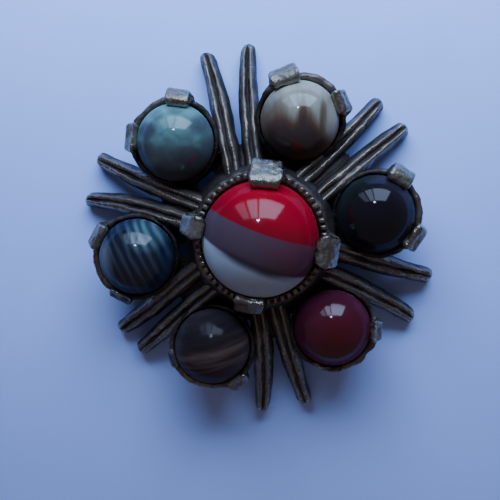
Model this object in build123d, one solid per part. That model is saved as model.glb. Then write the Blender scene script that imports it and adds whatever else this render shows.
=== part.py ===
"""Jewelled brooch, lying face up with its spike tips on the surface at z = 0.

A cast setting carries a beaded centre collet, six small cups and six pairs of ridged spikes. Seven glass
cabochons sit in the collet and the cups under bent-over claws, and a pin fitting is soldered across the back.
All sizes are in millimetres.
"""
import os
from math import atan2, degrees, pi, sin, sqrt

from build123d import *

# Layout
RING_RADIUS = 10.9          # middle of the brooch to the middle of each outer stone
CENTRE_SHIFT_X = 0.55       # the collet sits a little off the middle of the ring
CENTRE_SHIFT_Y = -0.30
BACK_HEIGHT = 2.3           # undersides of the cups and the collet above the surface
FIT_GAP = 0.05              # between a stone and the metal that it sits on

# Outer stones and their cups
STONE_RADIUS = 3.445
STONE_DOME = 2.9
STONE_BACK = 0.9            # depth of a stone below its widest line
CUP_FLOOR = 1.55            # underside of the cup to the seat of the stone
CUP_GAP = 0.27              # dark line between the stone and the cup wall
CUP_WALL = 0.36
CUP_TAPER = 0.5             # how much the cup narrows from its rim to its foot

# Centre stone and its collet
CENTRE_RADIUS = 5.11
CENTRE_DOME = 4.1
CENTRE_BACK = 1.3
COLLET_FLOOR = 2.75
COLLET_GAP = 0.26
COLLET_WALL = 0.85
COLLET_FLARE = 0.6          # how much wider the collet is at its foot than at its rim

# What cups and collet share
RIM_DROP = 0.2              # rim below the widest line of its stone
STONE_HEEL = 0.55           # how far the stone's flat back is smaller than its widest line
DOME_SHOULDER = 0.78        # radius of the dome's shoulder as a share of its height
SEAT_WALL = 0.6             # metal left between a stone's seat and the hollow of the back
HOLLOW_INSET = 0.75         # wall left round the hollow of the back

# Flange round the foot of the collet, which joins it to the cups
FLANGE_THICKNESS = 0.6
FLANGE_LAP = 0.9            # how far it runs in under the cups
WINDOW_SIZE = 1.3           # the gaps through it, beside two of the stones

# Beaded rim of the collet
BEAD_COUNT = 54
BEAD_NOTCH_WIDTH = 0.26
BEAD_NOTCH_DEPTH = 0.28
BEAD_BAND = 0.62            # outer part of the rim that is notched into beads

# Claws
CLAW_THICKNESS = 0.42
CUP_CLAW_WIDTH = 2.0
CUP_CLAW_LAP = 0.2          # how far a claw reaches in over the edge of its stone
CUP_CLAW_PROUD = 0.55       # how far it stands out from the wall
COLLET_CLAW_WIDTH = 2.7
COLLET_CLAW_LAP = 0.35
COLLET_CLAW_PROUD = 0.45
CUP_CLAW_BEVEL = 0.6        # slope from the claw's outer face up to its flat crown
COLLET_CLAW_BEVEL = 1.15
CLAW_ROOT_DEPTH = 1.5       # how far its foot runs down the wall
CLAW_ROOT_TAPER = 0.33      # how much of its standing out it loses halfway down the foot

# Spikes
SPIKE_REACH = 17.3          # middle of the brooch to a spike's tip
SPIKE_HALF_WIDTH = 0.95
SPIKE_ROOT_DROP = 0.3       # top of the spike at its root below the collet's rim
SPIKE_TIP_HEIGHT = 1.3
TIP_FILING = 0.05           # filed off the underside of the tips, so that they stand flat
SPIKE_GROOVE = 0.42         # depth of the groove between the two ridges
WEB_DROP = 0.55             # top of the web between a pair below the spikes' ridges
WEB_EDGE = 0.5              # height of the web's outer end
WEB_SLOPE = 1.0             # length over which it falls to that

# Pin fitting
PIN_ANGLE = 30              # it lies under a pair of spikes, clear of the gaps beside the collet
PIN_BAR_LENGTH = 17.4
PIN_BAR_WIDTH = 2.6
PIN_BAR_THICKNESS = 0.55
PIN_RADIUS = 0.4
PIN_CLEARANCE = 0.25        # fitting above the surface
PIN_BLOCK_LENGTH = 2.4
PIN_BLOCK_WIDTH = 2.0
CATCH_LENGTH = 1.2
CATCH_LIP = 0.35

# One row for each outer stone: its direction, and the directions of its two claws from there.
CUPS = {
    "teal_stone": dict(angle=120, claws=(43.0, -48.0)),
    "cream_stone": dict(angle=58.2, claws=(37.8, -46.2)),
    "black_stone": dict(angle=0, claws=(50.0, -43.0)),
    "red_stone": dict(angle=-60, claws=(46.0, -41.0)),
    "brown_stone": dict(angle=-121.2, claws=(58.2, -50.8)),
    "blue_stone": dict(angle=180, claws=(55.0, -46.0)),
}
COLLET_CLAW_ANGLES = (74, -19, -113, 157)

# One row for each gap through the flange: its direction, its distance as a share of the ring's radius, and
# its sizes across and round the ring as shares of the window size.
WINDOWS = [
    dict(angle=122, distance=0.62, across=0.55, round=1.50),
    dict(angle=182, distance=0.64, across=0.90, round=1.00),
]

# One row for each spike: the direction of its pair, its distance to the side of that line at the root and at
# the tip as shares of the space beside the line, its length as a share of the reach, and where the web ends.
SPIKES = [
    dict(pair=90, root=0.42, tip=0.86, reach=1.020, web=0.30),
    dict(pair=90, root=-0.56, tip=-1.18, reach=1.016, web=0.30),
    dict(pair=30, root=0.55, tip=0.95, reach=0.978, web=0.55),
    dict(pair=30, root=-0.56, tip=-0.69, reach=0.997, web=0.55),
    dict(pair=-30, root=0.59, tip=0.84, reach=0.996, web=0.20),
    dict(pair=-30, root=-0.54, tip=-1.30, reach=0.984, web=0.20),
    dict(pair=-90, root=0.43, tip=0.89, reach=1.018, web=0.43),
    dict(pair=-90, root=-0.43, tip=-1.31, reach=1.019, web=0.43),
    dict(pair=-150, root=0.60, tip=0.75, reach=0.962, web=0.41),
    dict(pair=-150, root=-0.50, tip=-0.67, reach=0.968, web=0.41),
    dict(pair=150, root=0.40, tip=1.26, reach=0.975, web=0.40),
    dict(pair=150, root=-0.50, tip=-0.76, reach=0.985, web=0.40),
]

# Sections along a spike: place along it, half width, top between root and tip, and underside as a share of
# the height of the back.
SPIKE_SECTIONS = [
    dict(along=0.000, width=1.00, top=1.00, under=1.00),
    dict(along=0.350, width=1.06, top=0.74, under=1.00),
    dict(along=0.650, width=1.00, top=0.39, under=0.45),
    dict(along=0.925, width=0.70, top=0.09, under=0.00),
    dict(along=1.000, width=0.52, top=0.00, under=0.00),
]
RIDGE_SIDE = 0.52           # place of a ridge between the middle of the spike and its edge
SHOULDER_DROP = 0.42        # how far the outer flank falls, as a share of the spike's height there

# Heights and radii that follow
cup_girdle = BACK_HEIGHT + CUP_FLOOR + FIT_GAP + STONE_BACK
cup_rim = cup_girdle - RIM_DROP
cup_pocket = STONE_RADIUS + CUP_GAP
cup_outer = cup_pocket + CUP_WALL
centre_girdle = BACK_HEIGHT + COLLET_FLOOR + FIT_GAP + CENTRE_BACK
collet_rim = centre_girdle - RIM_DROP
collet_pocket = CENTRE_RADIUS + COLLET_GAP
collet_outer = collet_pocket + COLLET_WALL
flange_radius = RING_RADIUS - cup_outer + CUP_TAPER + FLANGE_LAP
spike_channel = RING_RADIUS * sin(pi / len(CUPS)) - STONE_RADIUS
spike_root = collet_pocket - sqrt(CENTRE_SHIFT_X ** 2 + CENTRE_SHIFT_Y ** 2)
spike_root_top = collet_rim - SPIKE_ROOT_DROP
centre_place = Location((CENTRE_SHIFT_X, CENTRE_SHIFT_Y, 0))


def turn(angle):
    """Turn about the middle of the brooch."""
    return Location((0, 0, 0), (0, 0, angle))


def cup_place(row):
    """Move from the middle of the brooch to the middle of a cup, with +X pointing outwards."""
    return turn(row["angle"]) * Location((RING_RADIUS, 0, 0))


def dome_arcs(radius, dome):
    """Sizes of a dome's two tangent arcs: radius and offset of the shoulder, radius and depth of the crown."""
    shoulder = DOME_SHOULDER * dome
    offset = radius - shoulder
    rise = dome - shoulder
    depth = (offset ** 2 - rise ** 2) / (2 * rise)
    return shoulder, offset, dome + depth, depth


def dome_height(radius, dome, at):
    """Height of the dome's shoulder over the widest line, at a distance from the stone's middle."""
    shoulder, offset, _, _ = dome_arcs(radius, dome)
    return sqrt(shoulder ** 2 - (at - offset) ** 2)


def cabochon(radius, dome, back, girdle):
    """A round stone with a domed top and a bevelled flat back, its widest line at the height girdle."""
    shoulder, offset, crown, depth = dome_arcs(radius, dome)
    join = degrees(atan2(depth, offset))
    foot = Line((0, girdle - back), (radius - STONE_HEEL, girdle - back))
    side = Line(foot @ 1, (radius, girdle))
    low = CenterArc((offset, girdle), shoulder, 0, join)
    high = CenterArc((0, girdle - depth), crown, join, 90 - join)
    axis = Line(high @ 1, foot @ 0)
    return revolve(Plane.XZ * make_face([foot, side, low, high, axis]), Axis.Z)


def stone_room(radius, dome, back, girdle):
    """The stone with its fitting gap all round, for cutting the metal clear of it."""
    return cabochon(radius + FIT_GAP, dome + FIT_GAP, back + FIT_GAP, girdle)


def seat(pocket, wall, taper, floor, rim):
    """A tapered cup with a pocket for its stone and a hollow in its back."""
    outer = pocket + wall
    foot = outer - taper
    inner = foot - HOLLOW_INSET
    roof = BACK_HEIGHT + floor - SEAT_WALL
    outline = Polyline(
        (0, roof), (inner, roof), (inner, BACK_HEIGHT), (foot, BACK_HEIGHT), (outer, rim),
        (pocket, rim), (pocket, BACK_HEIGHT + floor), (0, BACK_HEIGHT + floor), (0, roof),
    )
    return revolve(Plane.XZ * make_face(outline), Axis.Z)


def seat_room(pocket, wall, taper, floor, height):
    """The pocket above a seat and the hollow below it, for cutting the spikes clear of both."""
    inner = pocket + wall - taper - HOLLOW_INSET
    base = (Align.CENTER, Align.CENTER, Align.MIN)
    above = Pos(0, 0, BACK_HEIGHT + floor) * Cylinder(pocket, height, align=base)
    below = Cylinder(inner, BACK_HEIGHT + floor - SEAT_WALL, align=base)
    return above + below


def claw(radius, dome, girdle, outer, wall, rim, width, lap, proud, bevel):
    """A tab that rises from the outside of the wall and is bent in over the edge of the stone."""
    inner = radius - lap
    lip = girdle + dome_height(radius, dome, inner) + FIT_GAP
    crown = lip + CLAW_THICKNESS
    face = outer + proud
    outline = Polyline(
        (inner, lip), (inner, crown), (face - bevel, crown), (face, crown - bevel),
        (face - CLAW_ROOT_TAPER * proud, rim - CLAW_ROOT_DEPTH / 2),
        (outer - wall / 2, rim - CLAW_ROOT_DEPTH), (outer - wall / 2, girdle), (inner, lip),
    )
    return extrude(Plane.XZ * make_face(outline), width / 2, both=True)


def collet_beads():
    """The gaps between the beads of the collet's rim."""
    gap = Box(BEAD_BAND, BEAD_NOTCH_WIDTH, 2 * BEAD_NOTCH_DEPTH)
    place = Pos(collet_outer - BEAD_BAND / 2, 0, collet_rim)
    return [turn(360 * index / BEAD_COUNT) * place * gap for index in range(BEAD_COUNT)]


def flange():
    """The flat ring round the foot of the collet, with the gaps beside two of the stones."""
    base = (Align.CENTER, Align.CENTER, Align.MIN)
    ring = Pos(0, 0, BACK_HEIGHT) * Cylinder(flange_radius, FLANGE_THICKNESS, align=base)
    windows = [
        turn(row["angle"]) * Pos(RING_RADIUS * row["distance"], 0, BACK_HEIGHT) * Box(
            WINDOW_SIZE * row["across"], WINDOW_SIZE * row["round"], 2 * FLANGE_THICKNESS)
        for row in WINDOWS
    ]
    return ring.cut(*windows)


def spike_heights(at):
    """Top and underside of a spike at a place along it, between the rows of the table of sections."""
    after = next(index for index, section in enumerate(SPIKE_SECTIONS) if section["along"] >= at)
    first, last = SPIKE_SECTIONS[max(after - 1, 0)], SPIKE_SECTIONS[after]
    span = last["along"] - first["along"]
    share = (at - first["along"]) / span if span else 0
    top = first["top"] + share * (last["top"] - first["top"])
    under = first["under"] + share * (last["under"] - first["under"])
    rise = spike_root_top - SPIKE_TIP_HEIGHT
    return SPIKE_TIP_HEIGHT + top * rise, BACK_HEIGHT * under - TIP_FILING * (1 - under)


def spike_section(row, section):
    """Outline of a spike across its length: two ridges with a groove between them, over a wide foot."""
    along = spike_root + section["along"] * (SPIKE_REACH * row["reach"] - spike_root)
    side = spike_channel * (row["root"] + (row["tip"] - row["root"]) * section["along"] ** 2)
    half = SPIKE_HALF_WIDTH * section["width"]
    top, under = spike_heights(section["along"])
    shoulder = top - SHOULDER_DROP * (top - under)
    groove = top - SPIKE_GROOVE * section["width"]
    ridge = RIDGE_SIDE * half
    points = [
        (-half, under), (-half, shoulder), (-ridge, top), (0, groove),
        (ridge, top), (half, shoulder), (half, under),
    ]
    return Wire.make_polygon([Vector(along, side + y, z) for y, z in points], close=True)


def spike(row):
    """One ridged spike, from inside the collet's wall to its blunt tip on the surface."""
    sections = [spike_section(row, section) for section in SPIKE_SECTIONS]
    return turn(row["pair"]) * Solid.make_loft(sections, ruled=True)


def web(left, right):
    """The sunk web that joins the inner ends of a pair of spikes and slopes down at its outer end."""
    reach = SPIKE_REACH * (left["reach"] + right["reach"]) / 2
    length = reach - spike_root
    end = left["web"]
    crest = end - WEB_SLOPE / length
    inner = [section["along"] for section in SPIKE_SECTIONS if section["along"] < crest]
    lows = [(spike_root + length * at, spike_heights(at)[1]) for at in [*inner, crest, end]]
    highs = [(spike_root + length * at, spike_heights(at)[0] - WEB_DROP) for at in [crest, *reversed(inner)]]
    outline = Polyline(*lows, (lows[-1][0], lows[-1][1] + WEB_EDGE), *highs, lows[0])
    low, high = right["root"] * spike_channel, left["root"] * spike_channel
    panel = extrude(Plane.XZ * make_face(outline), (high - low) / 2, both=True)
    return turn(left["pair"]) * Pos(0, (high + low) / 2, 0) * panel


def setting():
    """The whole metal casting as one solid."""
    places = [cup_place(row) for row in CUPS.values()]
    arms = [spike(row) for row in SPIKES] + [web(*SPIKES[i:i + 2]) for i in range(0, len(SPIKES), 2)]
    body = flange().fuse(*arms)
    cup_room = seat_room(cup_pocket, CUP_WALL, CUP_TAPER, CUP_FLOOR, STONE_DOME)
    collet_room = seat_room(collet_pocket, COLLET_WALL, -COLLET_FLARE, COLLET_FLOOR, CENTRE_DOME)
    body = body.cut(*[place * cup_room for place in places], centre_place * collet_room)

    cup = seat(cup_pocket, CUP_WALL, CUP_TAPER, CUP_FLOOR, cup_rim)
    collet = seat(collet_pocket, COLLET_WALL, -COLLET_FLARE, COLLET_FLOOR, collet_rim).cut(*collet_beads())
    cup_claw = claw(STONE_RADIUS, STONE_DOME, cup_girdle, cup_outer, CUP_WALL, cup_rim,
                    CUP_CLAW_WIDTH, CUP_CLAW_LAP, CUP_CLAW_PROUD, CUP_CLAW_BEVEL)
    collet_claw = claw(CENTRE_RADIUS, CENTRE_DOME, centre_girdle, collet_outer, COLLET_WALL, collet_rim,
                       COLLET_CLAW_WIDTH, COLLET_CLAW_LAP, COLLET_CLAW_PROUD, COLLET_CLAW_BEVEL)
    added = [place * cup for place in places] + [centre_place * collet]
    added += [cup_place(row) * turn(angle) * cup_claw for row in CUPS.values() for angle in row["claws"]]
    added += [centre_place * turn(angle) * collet_claw for angle in COLLET_CLAW_ANGLES]
    body = body.fuse(*added)

    small = stone_room(STONE_RADIUS, STONE_DOME, STONE_BACK, cup_girdle)
    large = stone_room(CENTRE_RADIUS, CENTRE_DOME, CENTRE_BACK, centre_girdle)
    filing = Cylinder(2 * SPIKE_REACH, SPIKE_TIP_HEIGHT, align=(Align.CENTER, Align.CENTER, Align.MAX))
    return body.cut(*[place * small for place in places], centre_place * large, filing)


def brooch_pin():
    """The bar soldered across the back, with its hinge block, stem and catch, as one plain piece."""
    bar_top = BACK_HEIGHT - FIT_GAP
    bar_under = bar_top - PIN_BAR_THICKNESS
    stem_height = PIN_CLEARANCE + PIN_RADIUS
    base = (Align.CENTER, Align.CENTER, Align.MIN)
    bar = Pos(0, 0, bar_under) * Box(PIN_BAR_LENGTH, PIN_BAR_WIDTH, PIN_BAR_THICKNESS, align=base)
    end = PIN_BAR_LENGTH / 2
    block = Pos(end - PIN_BLOCK_LENGTH / 2, 0, PIN_CLEARANCE) * Box(
        PIN_BLOCK_LENGTH, PIN_BLOCK_WIDTH, bar_top - PIN_CLEARANCE, align=base)
    stem = Pos(0, 0, stem_height) * Rot(0, 90, 0) * Cylinder(PIN_RADIUS, PIN_BAR_LENGTH)
    catch = Pos(CATCH_LENGTH / 2 - end, 0, PIN_CLEARANCE - CATCH_LIP / 2) * Box(
        CATCH_LENGTH, 2 * (PIN_RADIUS + CATCH_LIP), bar_top - PIN_CLEARANCE + CATCH_LIP / 2, align=base)
    return turn(PIN_ANGLE) * (bar + block + stem + catch)


pieces = {"setting": setting(), "brooch_pin": brooch_pin()}
pieces["centre_stone"] = centre_place * cabochon(CENTRE_RADIUS, CENTRE_DOME, CENTRE_BACK, centre_girdle)
for name, row in CUPS.items():
    pieces[name] = cup_place(row) * cabochon(STONE_RADIUS, STONE_DOME, STONE_BACK, cup_girdle)

os.makedirs("parts", exist_ok=True)
for name, shape in pieces.items():
    export_step(shape, f"parts/{name}.step")
    print(name, len(shape.solids()), "solid,", round(shape.volume, 1), "cubic mm")
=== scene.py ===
"""Jewelled brooch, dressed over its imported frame: cast metal, glass cabochons, a pin, a floor and soft light.

Shapes are modelled in millimetres, with the middle of the brooch at the origin and its front towards +Z, and
are turned to metres when a piece is finished. Points closer together than WELD are one. Directions round the
brooch are in degrees from +X, anticlockwise as seen from its front.
"""

import logging
import math
from abc import ABC, abstractmethod
from dataclasses import KW_ONLY, dataclass, field
from enum import Enum
from functools import cached_property
from typing import Callable, NamedTuple, Sequence

import bmesh
import bpy
import numpy as np
from mathutils import Matrix, Vector, noise

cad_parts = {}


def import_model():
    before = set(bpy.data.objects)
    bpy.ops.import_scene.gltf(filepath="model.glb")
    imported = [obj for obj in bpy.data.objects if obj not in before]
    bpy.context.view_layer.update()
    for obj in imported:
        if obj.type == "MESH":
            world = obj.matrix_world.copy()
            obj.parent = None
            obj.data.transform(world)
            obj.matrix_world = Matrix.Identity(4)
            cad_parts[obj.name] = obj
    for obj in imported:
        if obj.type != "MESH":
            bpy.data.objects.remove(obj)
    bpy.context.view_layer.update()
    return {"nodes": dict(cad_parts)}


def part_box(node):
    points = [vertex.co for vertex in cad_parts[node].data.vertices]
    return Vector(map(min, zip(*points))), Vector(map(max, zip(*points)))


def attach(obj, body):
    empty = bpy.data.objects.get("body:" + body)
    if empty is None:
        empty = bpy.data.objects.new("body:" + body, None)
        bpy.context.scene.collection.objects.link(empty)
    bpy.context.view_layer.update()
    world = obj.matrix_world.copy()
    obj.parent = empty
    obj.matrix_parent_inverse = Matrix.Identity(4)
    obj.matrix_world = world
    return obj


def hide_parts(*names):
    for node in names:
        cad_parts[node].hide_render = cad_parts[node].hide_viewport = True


LOG = logging.getLogger("brooch")
MM = 0.001
WELD = 1e-5
Point = tuple[float, float]
Colour = tuple[float, float, float]
Span = tuple[float, float]
Depth = Callable[[np.ndarray], np.ndarray]


class Smudge(NamedTuple):
    """A soft oval patch on a stone, in shares of the stone's radius."""

    across: float
    up: float
    width: float
    height: float
    strength: float


class Fineness(Enum):
    """Size in millimetres of the grain that castings are fused at."""

    FINAL = 0.09
    QUICK = 0.17


class Panes(Enum):
    """The panes of the window light: first and last direction in degrees, and brightness."""

    LEFT = (-38.0, -24.0, 1.2)
    MIDDLE = (-20.0, -4.0, 2.7)
    RIGHT = (-1.0, 37.0, 3.6)


class Link:
    """An output of a node in a material."""

    def __init__(self, graph: "Graph", socket: bpy.types.NodeSocket) -> None:
        """Keep the graph and the output socket."""
        self.graph = graph
        self.socket = socket


def operator(operation: str, swapped: bool = False) -> Callable[["Term", "Term | float"], "Term"]:
    """Make the method that an operator on a number calls.

    Args:
        operation: The Math node's operation.
        swapped: Whether the other number comes first.

    Returns:
        The method, which adds the Math node.
    """
    def method(self: "Term", other: "Term | float") -> "Term":
        """Add the node and give its output."""
        return self.graph.maths(operation, *((other, self) if swapped else (self, other)))

    return method


class Term(Link):
    """A number in a material. Arithmetic with it adds Math nodes."""

    __add__ = operator("ADD")
    __radd__ = operator("ADD", swapped=True)
    __sub__ = operator("SUBTRACT")
    __rsub__ = operator("SUBTRACT", swapped=True)
    __mul__ = operator("MULTIPLY")
    __rmul__ = operator("MULTIPLY", swapped=True)
    __truediv__ = operator("DIVIDE")
    __pow__ = operator("POWER")

    def __abs__(self) -> "Term":
        """Size of this number."""
        return self.graph.maths("ABSOLUTE", self)

    def ease(self, low: float, high: float) -> "Term":
        """Step smoothly from 0 to 1.

        Args:
            low: Where the result is 0.
            high: Where it is 1, which may be below low.

        Returns:
            The stepped number.
        """
        if low > high:
            return 1 - self.ease(high, low)
        return self.graph.number(
            "ShaderNodeMapRange", {"interpolation_type": "SMOOTHSTEP"},
            {"Value": self, "From Min": low, "From Max": high})

    def clamp(self) -> "Term":
        """This number, kept between 0 and 1."""
        return self.graph.number("ShaderNodeClamp", {}, {"Value": self})


class Graph:
    """A material's nodes, added by short calls."""

    def __init__(self, name: str) -> None:
        """Start a material with only its shader and its output.

        Args:
            name: Name of the material.
        """
        self.material = bpy.data.materials.new(name)
        self.material.use_nodes = True
        self.nodes = self.material.node_tree.nodes
        self.links = self.material.node_tree.links
        self.shader = self.nodes["Principled BSDF"]

    def feed(self, socket: bpy.types.NodeSocket, value: "Link | float | Sequence[float]") -> None:
        """Give a socket a link or a fixed value.

        Args:
            socket: The input socket.
            value: The link, number, vector or colour.
        """
        if isinstance(value, Link):
            self.links.new(value.socket, socket)
        elif socket.type == "RGBA":
            socket.default_value = (*value, 1.0)
        else:
            socket.default_value = value

    def node(self, kind: str, settings: dict, inputs: dict) -> bpy.types.Node:
        """Add a node of any kind.

        Args:
            kind: Blender's name for the type of node.
            settings: Properties that are set first. A ramp's stops are given as (place, colour) pairs.
            inputs: Values or links by the name or the number of the socket.

        Returns:
            The new node.
        """
        node = self.nodes.new(kind)
        for name, value in settings.items():
            if name == "stops":
                self.set_stops(node.color_ramp, value)
            else:
                setattr(node, name, value)
        for name, value in inputs.items():
            self.feed(node.inputs[name], value)
        return node

    @staticmethod
    def set_stops(ramp: bpy.types.ColorRamp, stops: Sequence[tuple[float, Colour]]) -> None:
        """Give a colour ramp its stops.

        Args:
            ramp: The ramp, with its two first stops.
            stops: Places and colours, in rising order.
        """
        while len(ramp.elements) < len(stops):
            ramp.elements.new(1.0)
        for element, (place, colour) in zip(ramp.elements, stops):
            element.position = place
            element.color = (*colour, 1.0)

    def number(self, kind: str, settings: dict, inputs: dict, output: int | str = 0) -> Term:
        """Add a node and take one of its outputs as a number."""
        return Term(self, self.node(kind, settings, inputs).outputs[output])

    def link(self, kind: str, settings: dict, inputs: dict, output: int | str = 0) -> Link:
        """Add a node and take one of its outputs as a colour or a vector."""
        return Link(self, self.node(kind, settings, inputs).outputs[output])

    def maths(self, operation: str, *values: "Term | float") -> Term:
        """Add a Math node for an operation on one to three numbers."""
        return self.number("ShaderNodeMath", {"operation": operation}, dict(enumerate(values)))

    def mix(self, share: "Term | float", first: "Link | Colour", second: "Link | Colour") -> Link:
        """Blend two colours. The node's sockets share their names, so they are taken by number.

        Args:
            share: Share of the second colour.
            first: The first colour.
            second: The second colour.

        Returns:
            The blend.
        """
        node = self.node("ShaderNodeMix", {"data_type": "RGBA"}, {})
        self.feed(node.inputs[0], share)
        self.feed(node.inputs[6], first)
        self.feed(node.inputs[7], second)
        return Link(self, node.outputs[2])

    def ramp(self, place: Term, *stops: tuple[float, Colour]) -> Link:
        """Colour from a ramp of (place, colour) stops."""
        return self.link("ShaderNodeValToRGB", {"stops": stops}, {"Fac": place})

    def attribute(self, name: str) -> Term:
        """A number that each point of the mesh carries."""
        return self.number("ShaderNodeAttribute", {"attribute_name": name}, {}, "Fac")

    def place(self) -> Link:
        """The point's place in the object, in metres."""
        return self.link("ShaderNodeTexCoord", {}, {}, "Object")

    def join(self, x: "Term | float", y: "Term | float", z: "Term | float") -> Link:
        """A vector from three numbers."""
        return self.link("ShaderNodeCombineXYZ", {}, {0: x, 1: y, 2: z})

    def split(self, vector: Link) -> tuple[Term, Term, Term]:
        """The three numbers of a vector."""
        node = self.node("ShaderNodeSeparateXYZ", {}, {0: vector})
        return tuple(Term(self, output) for output in node.outputs)

    def noise(self, vector: Link, scale: float, detail: float = 2.0, distortion: float = 0.0) -> Term:
        """Cloudy noise from 0 to 1 round a middle of 0.5."""
        inputs = {"Vector": vector, "Scale": scale, "Detail": detail, "Distortion": distortion}
        return self.number("ShaderNodeTexNoise", {}, inputs)

    def bump(self, height: Term, distance: float, strength: float) -> Link:
        """A normal from a height, where a height of 1 stands distance metres proud."""
        return self.link("ShaderNodeBump", {}, {"Height": height, "Distance": distance, "Strength": strength})

    def finish(self, inputs: dict) -> bpy.types.Material:
        """Feed the shader's sockets and hand the material over.

        Args:
            inputs: Values or links by the name of the socket.

        Returns:
            The material.
        """
        for name, value in inputs.items():
            self.feed(self.shader.inputs[name], value)
        return self.material


@dataclass(frozen=True)
class CastMetal:
    """Antiqued cast metal: dark oxide in its hollows, bare worn edges, and the fine pits of the mould.

    The dark colour of the hollows also paints shade where the depth attribute is high, and the crown colour
    paints a sheen on the tops of claws and beads. Each span says where a mask is 0 and where it is 1. The
    spans crown_sheen_height and deep go by depth, sunk and sharp by relief, brassy by the patches, and rubbed
    and crown_sheen_span by patches and pits together.
    """

    body: Colour = (0.215, 0.178, 0.142)
    bare: Colour = (0.70, 0.62, 0.47)
    # Dark oxidised colour of the hollows, also used as painted shade where the depth attribute is high.
    oxide_and_shade: Colour = (0.042, 0.035, 0.033)
    brass: Colour = (0.235, 0.200, 0.138)
    # Lighter colour painted on the tops of claws and beads as a sheen.
    crown: Colour = (0.34, 0.35, 0.29)
    crown_sheen_height: Span = (-0.2, -0.9)
    deep: Span = (0.02, 0.85)
    sunk: Span = (0.40, -0.35)
    sharp: Span = (0.25, 0.85)
    brassy: Span = (0.42, 0.68)
    rubbed: Span = (0.88, 1.28)
    crown_sheen_span: Span = (0.30, 0.85)
    pit_scale: float = 2600.0
    patch_scale: float = 420.0
    pit_depth: float = 0.00007
    metal_share: float = 0.80
    roughness: float = 0.29
    bump_strength: float = 0.9

    def material(self, name: str) -> bpy.types.Material:
        """Make the material, which reads the attributes relief and depth from the mesh.

        Args:
            name: Name of the material.

        Returns:
            The new material.
        """
        graph = Graph(name)
        place = graph.place()
        relief = graph.attribute("relief")
        depth = graph.attribute("depth")
        pits = graph.noise(place, self.pit_scale, 4.0)
        patches = graph.noise(place, self.patch_scale, 3.0)
        proud = depth.ease(*self.crown_sheen_height)
        # Oxidised grooves come from relief; where the depth attribute is high the darkening is painted shade.
        hollow = 0.9 * relief.ease(*self.sunk) + depth.ease(*self.deep) + 0.7 * (patches - 0.55)
        hollow = (hollow + 0.5 * (pits - 0.5) - 0.8 * proud).clamp()
        # The proud tops also get bare metal: real wear, plus a painted highlight.
        edges = relief.ease(*self.sharp) + 0.45 * proud
        worn = (edges * (0.8 * pits + 1.2 * patches).ease(*self.rubbed)).clamp()
        colour = graph.mix(patches.ease(*self.brassy) * 0.5, self.body, self.brass)
        colour = graph.mix(0.8 * worn, colour, self.bare)
        colour = graph.mix(0.9 * hollow, colour, self.oxide_and_shade)
        # Painted sheen on the proud tops of claws and beads.
        crown = proud * (patches + 0.3 * pits).ease(*self.crown_sheen_span) * 0.7
        colour = graph.mix(crown, colour, self.crown)
        return graph.finish({
            "Base Color": colour,
            "Metallic": (self.metal_share + 0.8 * worn).clamp(),
            "Roughness": self.roughness + 0.30 * hollow + 0.25 * (pits - 0.5) - 0.04 * worn,
            "Normal": graph.bump(pits + 0.8 * patches, self.pit_depth, self.bump_strength),
        })


@dataclass(frozen=True)
class PinMetal:
    """Wire and strip of the pin, dulled by handling.

    The span says from what sum of clouds and grain on the metal is dull, and where it is fully so.
    """

    bare: Colour = (0.50, 0.49, 0.44)
    dull: Colour = (0.16, 0.15, 0.13)
    dulled: Span = (0.45, 0.95)
    grain_scale: float = 3200.0
    cloud_scale: float = 300.0
    scratch_depth: float = 0.00001
    scratch_strength: float = 0.5

    def material(self, name: str) -> bpy.types.Material:
        """Make the material.

        Args:
            name: Name of the material.

        Returns:
            The new material.
        """
        graph = Graph(name)
        place = graph.place()
        grain = graph.noise(place, self.grain_scale, 3.0)
        clouds = graph.noise(place, self.cloud_scale, 3.0)
        dulled = (clouds + 0.4 * grain).ease(*self.dulled)
        return graph.finish({
            "Base Color": graph.mix(dulled, self.bare, self.dull),
            "Metallic": 1 - 0.2 * dulled,
            "Roughness": 0.26 + 0.3 * dulled,
            "Normal": graph.bump(grain, self.scratch_depth, self.scratch_strength),
        })


@dataclass(frozen=True)
class StonePlace:
    """Where a stone lies, in millimetres, read from the frame."""

    x: float
    y: float
    low: float
    top: float
    radius: float

    @classmethod
    def of_node(cls, node: str) -> "StonePlace":
        """Measure the stone's solid in the frame.

        Args:
            node: Name of the solid.

        Returns:
            Its place.
        """
        low, high = (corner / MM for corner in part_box(node))
        middle = (low + high) / 2
        return cls(middle.x, middle.y, low.z, high.z, (high.x - low.x) / 2)

    @property
    def shift(self) -> Matrix:
        """Move from the middle of the brooch to the middle of the stone."""
        return Matrix.Translation((self.x, self.y, 0))


@dataclass(frozen=True)
class Face:
    """The front of a stone, as a pattern on it is laid out.

    X runs from left to right and y from bottom to top, both from -1 to 1 over the stone, and across is the
    vector of both.
    """

    graph: Graph
    x: Term
    y: Term
    across: Link

    def patches(self, smudges: Sequence[Smudge]) -> Term:
        """Add up soft oval patches, each full at its middle and nothing from its edge on.

        Args:
            smudges: The patches.

        Returns:
            Their sum.
        """
        return sum(
            (((self.x - across) / width) ** 2.0 + ((self.y - up) / height) ** 2.0).ease(1.0, 0.0) * strength
            for across, up, width, height, strength in smudges)


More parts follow.
